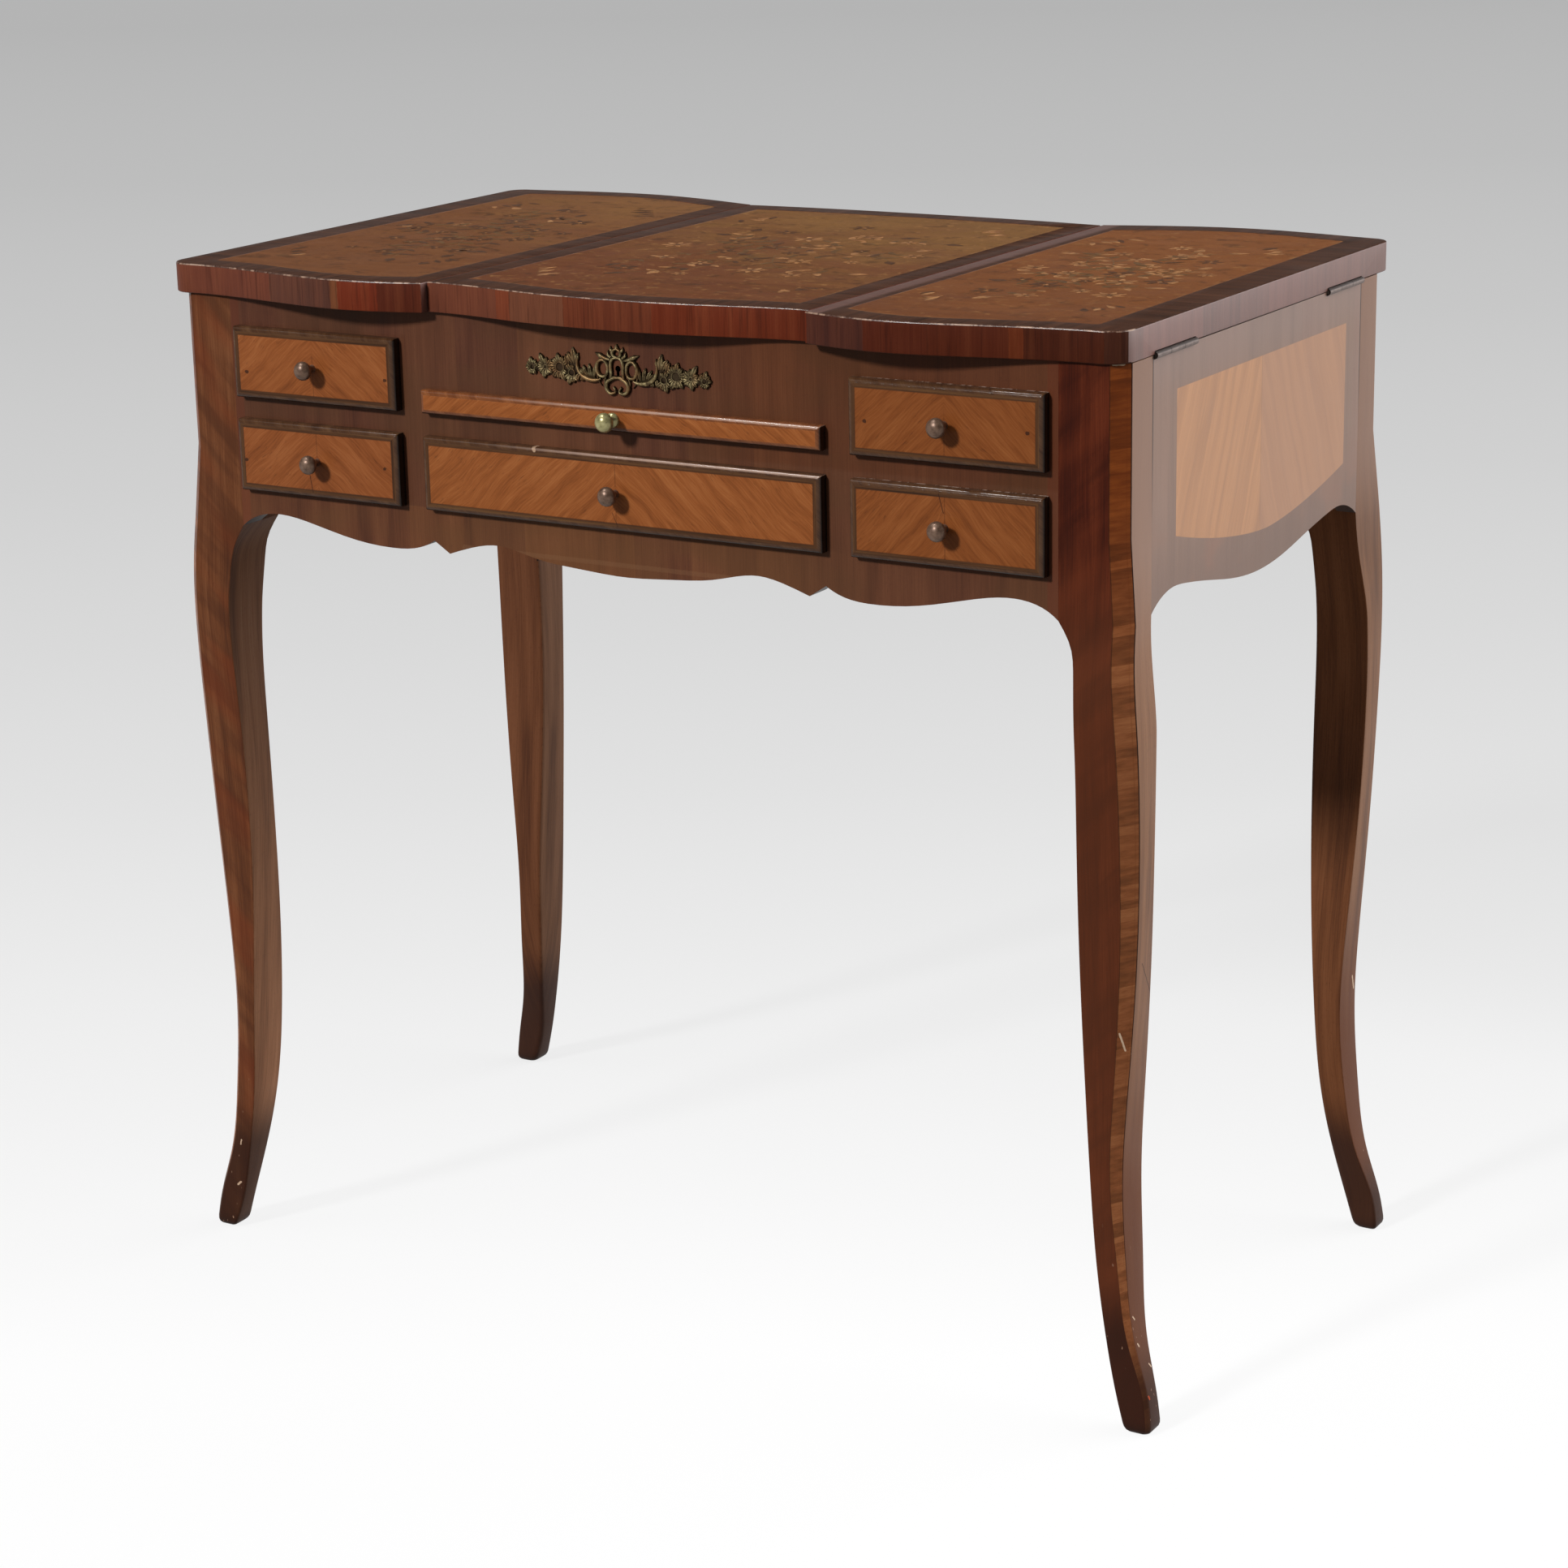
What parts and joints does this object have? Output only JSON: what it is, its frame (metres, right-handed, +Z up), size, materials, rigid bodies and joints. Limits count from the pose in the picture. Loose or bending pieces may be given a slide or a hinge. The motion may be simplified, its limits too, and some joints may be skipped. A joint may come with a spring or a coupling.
{
  "type": "dressing table",
  "caption": "Small antique style dressing table on four curved legs, with a lift-up mirror lid between two folding side leaves, a writing slide and drawers.",
  "frame": {"origin": "on the floor, below the middle of the case", "axes": "+Z up, +X to the right of a person who sits at the table, -Y towards that person"},
  "size_m": [0.7764, 0.4678, 0.73],
  "materials": {
    "kingwood": "french polished, worn",
    "tulipwood": "french polished, worn",
    "marquetry": "french polished, worn",
    "secondary_wood": "bare, planed",
    "gilt_brass": "cast and gilded, rubbed",
    "dark_brass": "dark, aged",
    "pale_brass": "polished",
    "iron": "dark, aged",
    "mirror_silver": "silvered glass"
  },
  "bodies": {
    "case": {"leg_front_left": "kingwood", "leg_front_right": "kingwood", "leg_back_left": "kingwood", "leg_back_right": "kingwood", "side_panel_left": "kingwood", "side_panel_right": "kingwood", "side_field_left": "tulipwood", "side_field_right": "tulipwood", "back_panel": "kingwood", "front_apron": "kingwood", "front_stile_left": "kingwood", "front_stile_right": "kingwood", "front_board_left": "kingwood", "front_board_right": "kingwood", "outer_stiles": "kingwood", "slide_rail": "kingwood", "lock_panel": "kingwood", "partition_left": "secondary_wood", "partition_right": "secondary_wood", "well_floor_left": "secondary_wood", "well_floor_right": "secondary_wood", "compartment_floor": "secondary_wood", "side_drawer_runners": "secondary_wood", "centre_runners": "secondary_wood", "false_front_left": "tulipwood", "false_front_right": "tulipwood", "false_front_knobs": "dark_brass", "escutcheon": "gilt_brass", "lock_case": "iron", "case_hinge_plates": "dark_brass", "hinge_pins": "iron"},
    "left_leaf": {"left_leaf_board": "kingwood", "left_leaf_field": "marquetry", "left_leaf_hinge_plates": "dark_brass"},
    "right_leaf": {"right_leaf_board": "kingwood", "right_leaf_field": "marquetry", "right_leaf_hinge_plates": "dark_brass"},
    "lid": {"lid_board": "kingwood", "lid_field": "marquetry", "lid_hinge_plates": "dark_brass", "mirror_frame": "kingwood", "mirror_glass": "mirror_silver", "strike_plate": "dark_brass"},
    "slide": {"slide_board": "secondary_wood", "slide_front": "tulipwood", "slide_knob": "pale_brass"},
    "left_drawer": {"left_drawer_front": "tulipwood", "left_drawer_sides": "secondary_wood", "left_drawer_bottom": "secondary_wood", "left_drawer_knob": "dark_brass"},
    "centre_drawer": {"centre_drawer_front": "tulipwood", "centre_drawer_sides": "secondary_wood", "centre_drawer_bottom": "secondary_wood", "centre_drawer_knob": "dark_brass"},
    "right_drawer": {"right_drawer_front": "tulipwood", "right_drawer_sides": "secondary_wood", "right_drawer_bottom": "secondary_wood", "right_drawer_knob": "dark_brass"},
    "lock_bolt": {"lock_bolt": "iron"}
  },
  "joints": [
    {"name": "left_leaf_hinge", "type": "hinge", "parent": "case", "child": "left_leaf", "pos_m": [-0.37045, 0, 0.70935], "axis": [0, -1, 0], "range_deg": [0, 180]},
    {"name": "right_leaf_hinge", "type": "hinge", "parent": "case", "child": "right_leaf", "pos_m": [0.36725, 0, 0.70935], "axis": [0, 1, 0], "range_deg": [0, 180]},
    {"name": "lid_hinge", "type": "hinge", "parent": "case", "child": "lid", "pos_m": [0, 0.20765, 0.70935], "axis": [-1, 0, 0], "range_deg": [0, 98]},
    {"name": "slide_travel", "type": "slide", "parent": "case", "child": "slide", "axis": [0, -1, 0], "range_m": [0, 0.25]},
    {"name": "left_drawer_travel", "type": "slide", "parent": "case", "child": "left_drawer", "axis": [0, -1, 0], "range_m": [0, 0.28]},
    {"name": "centre_drawer_travel", "type": "slide", "parent": "case", "child": "centre_drawer", "axis": [0, -1, 0], "range_m": [0, 0.28]},
    {"name": "right_drawer_travel", "type": "slide", "parent": "case", "child": "right_drawer", "axis": [0, -1, 0], "range_m": [0, 0.28]},
    {"name": "lock_bolt_throw", "type": "slide", "parent": "case", "child": "lock_bolt", "axis": [0, 0, 1], "range_m": [0, 0.006]}
  ]
}
